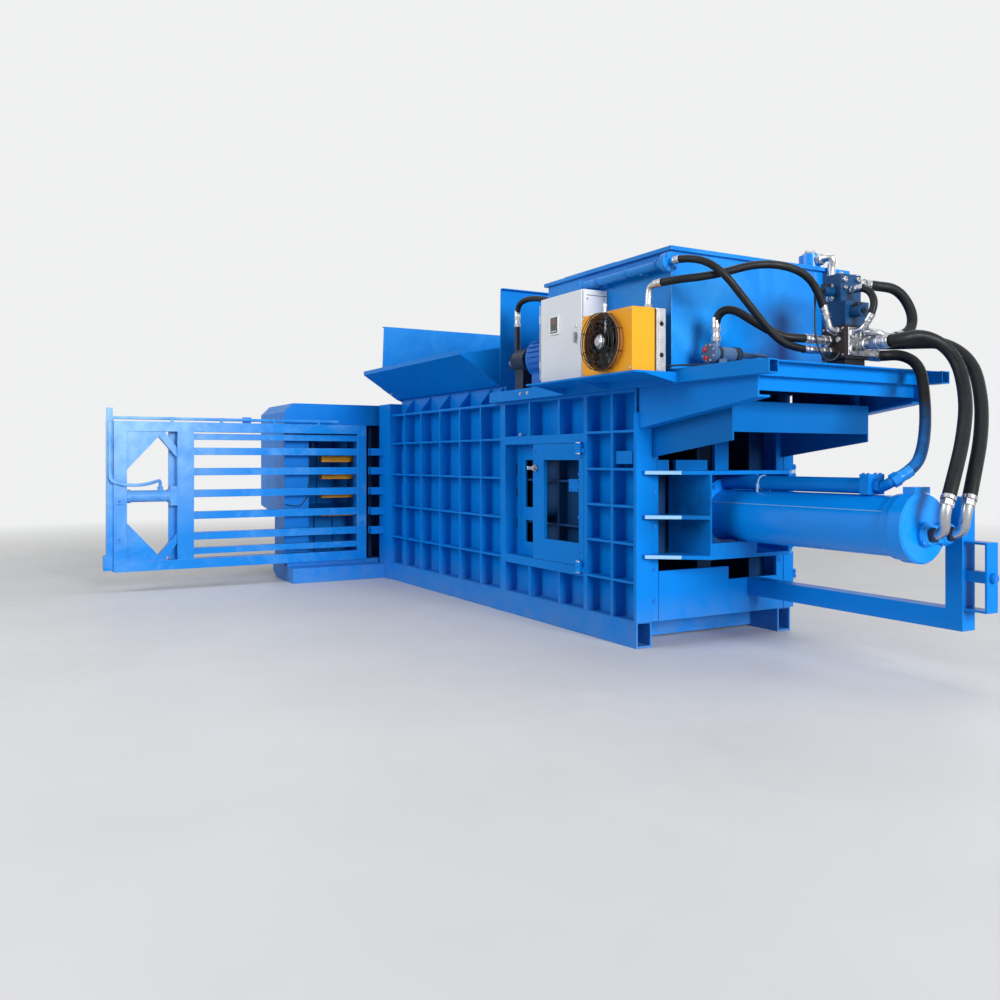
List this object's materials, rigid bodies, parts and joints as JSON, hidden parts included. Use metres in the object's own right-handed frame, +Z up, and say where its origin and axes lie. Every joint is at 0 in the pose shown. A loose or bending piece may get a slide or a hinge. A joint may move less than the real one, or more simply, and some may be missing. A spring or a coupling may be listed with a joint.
{
  "type": "baler",
  "caption": "Horizontal recycling baler: ribbed press body with feed hopper, hydraulic ram, sliding barred gate in a discharge portal, oil tank, cooler, cabinet and hoses on top",
  "frame": {"origin": "on the floor under the discharge mouth, on the machine's middle plane", "axes": "+X along the machine from the mouth to the main cylinder, +Z up, -Y the operator's side"},
  "size_m": [7.0488, 4.435, 2.595],
  "materials": {
    "blue_paint": "gloss enamel",
    "gate_paint": "gloss enamel",
    "knife_steel": "ground",
    "polished_rod": "hard chromed",
    "plain_steel": "brushed",
    "guide_yellow": "gloss enamel",
    "cabinet_grey": "satin powder coat",
    "cooler_paint": "gloss enamel",
    "cooler_aluminium": "plain",
    "fan_black": "satin black",
    "filter_grey": "satin",
    "filter_chrome": "polished",
    "manifold_dark": "machined, dark",
    "valve_blue": "satin",
    "fitting_chrome": "zinc bright",
    "motor_blue": "gloss enamel",
    "pump_dark": "painted, dark",
    "hose_rubber": "matt black"
  },
  "bodies": {
    "press_frame": {"base_frame": "blue_paint", "near_side_wall": "blue_paint", "far_side_wall": "blue_paint", "body_roof": "blue_paint", "rear_frame": "blue_paint", "fixed_knife": "knife_steel", "hopper_end_wall": "blue_paint", "hopper_near_flap": "blue_paint", "hopper_rear_wall": "blue_paint", "hopper_far_wall": "blue_paint", "portal_base": "blue_paint", "portal_columns": "blue_paint", "portal_top_beam": "blue_paint", "wire_guides": "blue_paint", "wire_guide_arms": "guide_yellow", "cylinder_barrel": "blue_paint", "cylinder_cap": "blue_paint", "cylinder_gland": "blue_paint", "rod_side_pipe": "blue_paint", "support_arm": "blue_paint", "platform_frame": "blue_paint", "rear_tray": "blue_paint", "oil_tank": "blue_paint", "tank_lid": "blue_paint", "tank_pipe": "blue_paint", "return_filter": "filter_chrome", "cabinet_box": "cabinet_grey", "cooler_housing": "cooler_paint", "cooler_core": "cooler_aluminium", "fan_motor_guard": "fan_black", "inline_filter": "filter_grey", "valve_manifold": "manifold_dark", "valve_stack": "valve_blue", "hydraulic_fittings": "fitting_chrome", "pump_motor": "motor_blue", "pump": "pump_dark", "access_hinge_pins": "plain_steel", "tank_hose": "hose_rubber", "cooler_hose": "hose_rubber", "filter_hose": "hose_rubber", "valve_loop_hose": "hose_rubber", "pilot_hose": "hose_rubber", "cap_hose_near": "hose_rubber", "cap_hose_far": "hose_rubber", "rod_side_hose": "hose_rubber", "pump_hose": "hose_rubber"},
    "gate": {"gate_frame": "gate_paint", "gate_bars": "gate_paint", "gate_pipe": "gate_paint", "lock_cylinder": "gate_paint"},
    "lock_bar": {"lock_bar": "gate_paint"},
    "ram": {"ram_box": "blue_paint", "ram_face": "knife_steel", "ram_knife": "knife_steel", "piston_rod": "polished_rod"},
    "access_door": {"access_door": "blue_paint"},
    "door_latch": {"door_latch": "plain_steel"},
    "cabinet_door": {"cabinet_door": "cabinet_grey"},
    "cabinet_handle": {"cabinet_handle": "plain_steel"},
    "cooler_fan": {"cooler_fan": "fan_black"}
  },
  "joints": [
    {"name": "gate_slide", "type": "slide", "parent": "press_frame", "child": "gate", "axis": [0, 1, 0], "range_m": [0, 1.68]},
    {"name": "lock_slide", "type": "slide", "parent": "gate", "child": "lock_bar", "axis": [0, -1, 0], "range_m": [0, 0.11]},
    {"name": "ram_stroke", "type": "slide", "parent": "press_frame", "child": "ram", "axis": [-1, 0, 0], "range_m": [0, 1.68]},
    {"name": "access_door_hinge", "type": "hinge", "parent": "press_frame", "child": "access_door", "pos_m": [3.536, -0.708, 0.89], "axis": [0, 0, 1], "range_deg": [0, 110]},
    {"name": "door_latch_turn", "type": "hinge", "parent": "access_door", "child": "door_latch", "pos_m": [2.945, -0.681, 1.14], "axis": [0, 1, 0], "range_deg": [0, 90]},
    {"name": "cabinet_door_hinge", "type": "hinge", "parent": "press_frame", "child": "cabinet_door", "pos_m": [3.413, -0.938, 2], "axis": [0, 0, -1], "range_deg": [0, 110]},
    {"name": "cabinet_handle_turn", "type": "hinge", "parent": "cabinet_door", "child": "cabinet_handle", "pos_m": [3.863, -0.938, 2.003], "axis": [0, 1, 0], "range_deg": [0, 90]},
    {"name": "cooler_fan_spin", "type": "hinge", "parent": "press_frame", "child": "cooler_fan", "pos_m": [4.3205, -1.02, 1.905], "axis": [0, 1, 0], "continuous": true}
  ]
}
